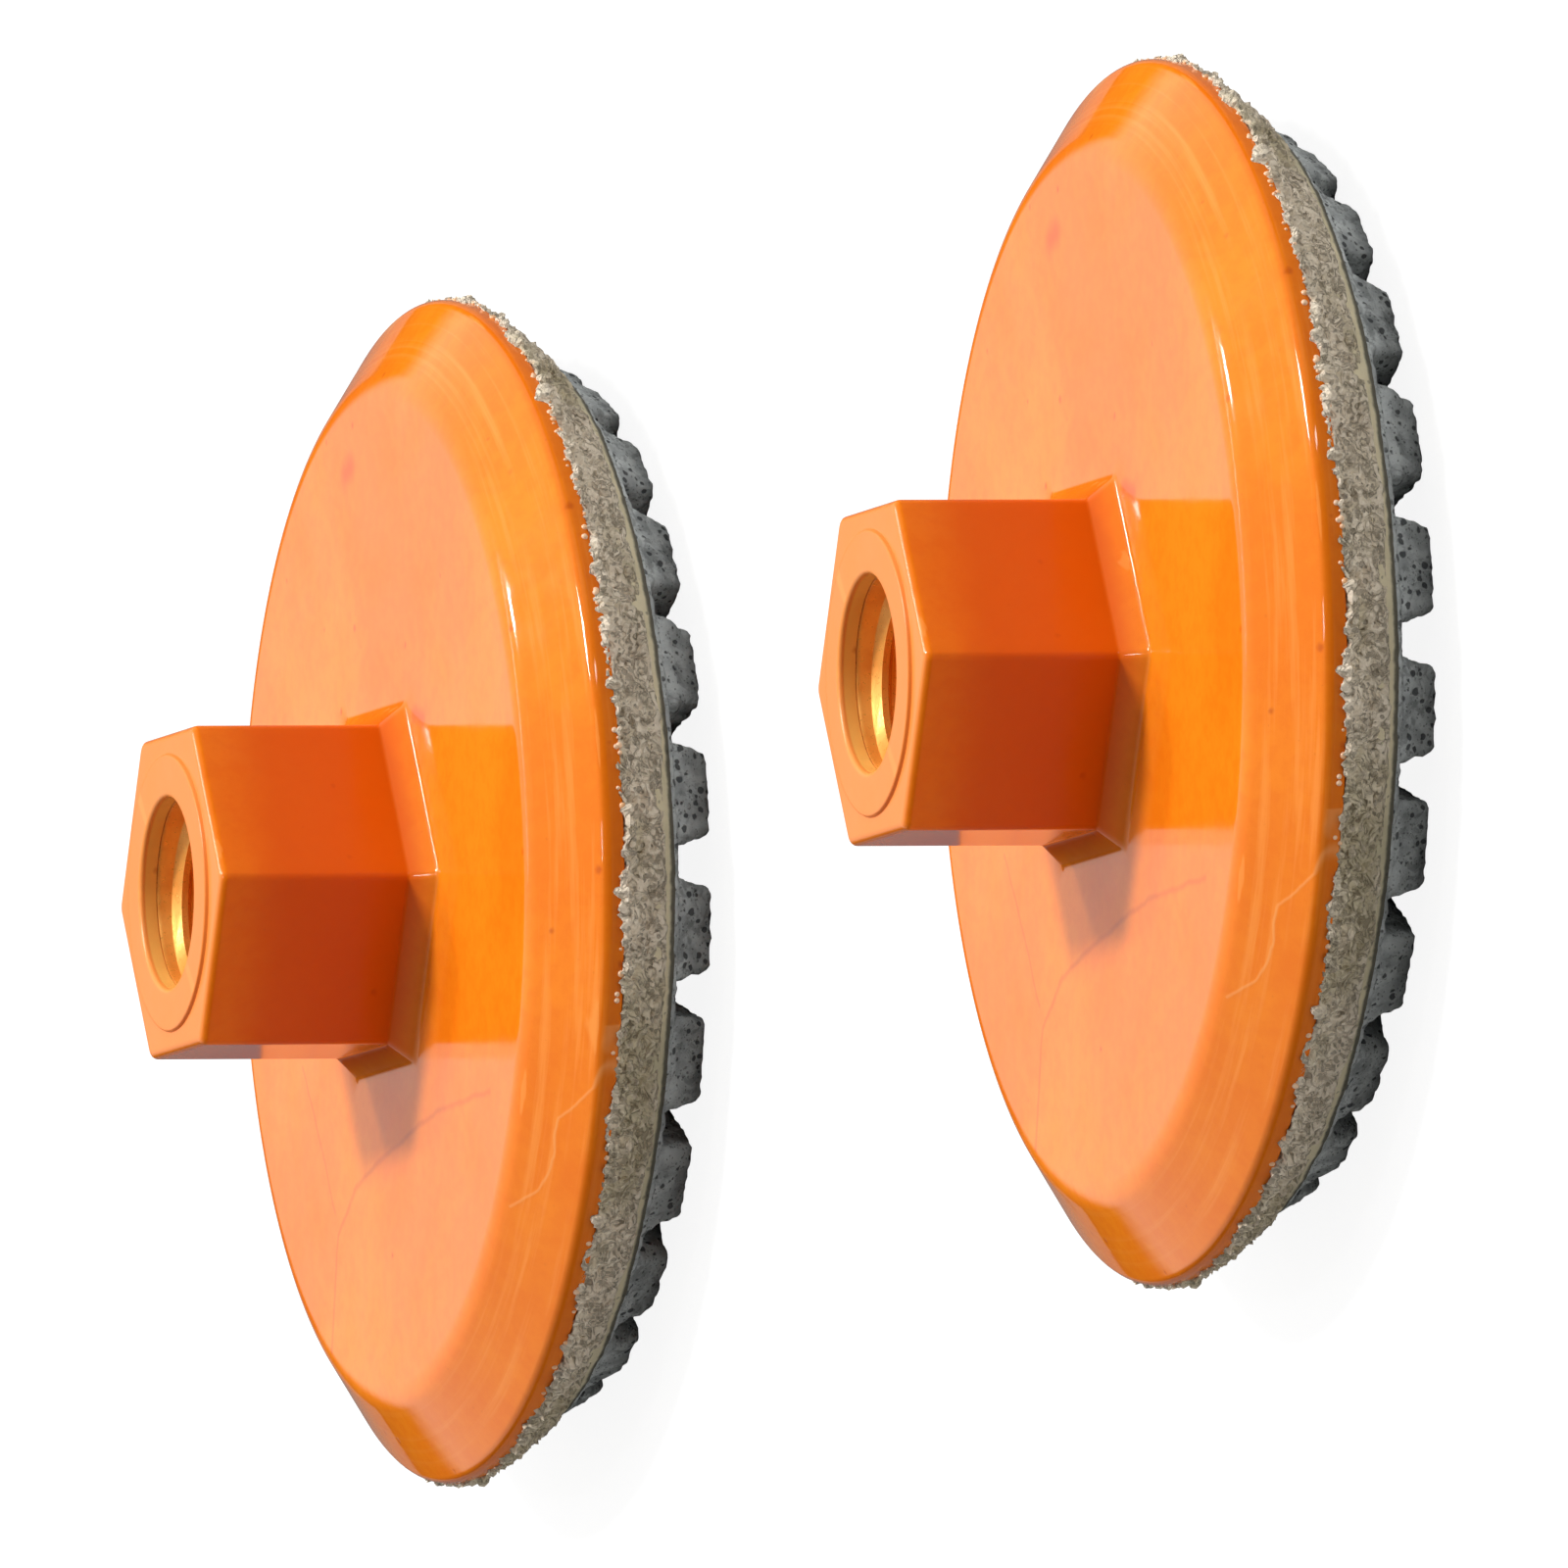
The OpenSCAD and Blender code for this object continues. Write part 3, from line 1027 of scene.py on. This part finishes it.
def pale_floor():
    """Near white to the camera, darker to the light that it throws back on the discs."""
    pick_nothing()
    bpy.ops.mesh.primitive_plane_add(size=8)
    floor = bpy.context.object
    floor.name = "pale_floor"
    material = bpy.data.materials.new("pale_floor")
    material.use_nodes = True
    shader = material.node_tree.nodes["Principled BSDF"]
    tree = material.node_tree
    ray = put(tree, "LightPath").outputs
    seen = ray["Is Camera Ray"]
    bounce = mixed(tree, ray["Is Glossy Ray"], grey(floor_bounce), grey(floor_in_reflections))
    tree.links.new(mixed(tree, seen, bounce, grey(floor_seen)), shader.inputs["Base Color"])
    tree.links.new(mixed(tree, seen, grey(0), grey(floor_glow)), shader.inputs["Emission Color"])
    shader.inputs["Emission Strength"].default_value = 1.0
    shader.inputs["Roughness"].default_value = 0.9
    floor.data.materials.append(material)


def soft_light(name, direction, width, height, power):
    """An area light that faces the middle of the floor."""
    way = Vector(direction).normalized()
    lamp = bpy.data.lights.new(name, "AREA")
    lamp.shape = "RECTANGLE"
    lamp.size = width
    lamp.size_y = height
    lamp.energy = power
    holder = bpy.data.objects.new(name, lamp)
    bpy.context.scene.collection.objects.link(holder)
    holder.location = way * lamp_distance
    holder.rotation_euler = (-way).to_track_quat("-Z", "Y").to_euler()


def studio_walls():
    """Surroundings that are bright high up behind the discs and dark near the horizon."""
    world = bpy.data.worlds.new("studio")
    bpy.context.scene.world = world
    world.use_nodes = True
    tree = world.node_tree
    way = put(tree, "TexCoord").outputs["Generated"]
    toward = vector_calc(tree, "DOT_PRODUCT", way, bright_side)
    glow = spread(tree, toward, -0.3, 0.8, 0.05, 0.84)
    seen = put(tree, "LightPath").outputs["Is Camera Ray"]
    above_horizon = spread(tree, parts_of(tree, way)[2], 0.16, 0.27, 0.02, 1)
    glow = product(tree, glow, above_horizon)
    shade = mixed(tree, seen, mixed(tree, glow, grey(0), grey(1)), grey(1))
    connect(tree, shade, tree.nodes["Background"].inputs["Color"])


pale_floor()
studio_walls()
soft_light("key", (-0.02, 0.46, 0.88), 1.2, 1.2, 480)
soft_light("spot", (-0.378, 0.383, 0.843), 0.6, 0.6, 130)
soft_light("strip", (-0.60, 0.20, 0.80), 3.2, 0.16, 16)
soft_light("window", (0.67, 0.66, 0.35), 0.4, 1.6, 45)
soft_light("corner glint", (0.31, 0.11, 0.945), 0.6, 0.6, 35)

camera_rise = math.radians(16.7)
camera_roll = math.radians(0.2)
camera_distance = 5.5
view_half_width = 65.1 * MM
aim_across = -10.9 * MM

towards_camera = Vector((math.cos(camera_rise), 0, math.sin(camera_rise)))
across_view = Vector((math.sin(camera_rise), 0, -math.cos(camera_rise)))
camera = bpy.data.cameras.new("camera")
camera.sensor_width = 36
camera.lens = camera.sensor_width / 2 * camera_distance / view_half_width
camera.clip_end = 20
camera_holder = bpy.data.objects.new("camera", camera)
bpy.context.scene.collection.objects.link(camera_holder)
camera_holder.location = towards_camera * camera_distance + across_view * aim_across
up_view = Vector((0, 1, 0))
right = across_view * math.cos(camera_roll) - up_view * math.sin(camera_roll)
up = across_view * math.sin(camera_roll) + up_view * math.cos(camera_roll)
camera_turn = Matrix((right, up, towards_camera)).transposed()
camera_holder.rotation_euler = camera_turn.to_quaternion().to_euler()
bpy.context.scene.camera = camera_holder
bpy.context.scene.view_settings.view_transform = "Standard"
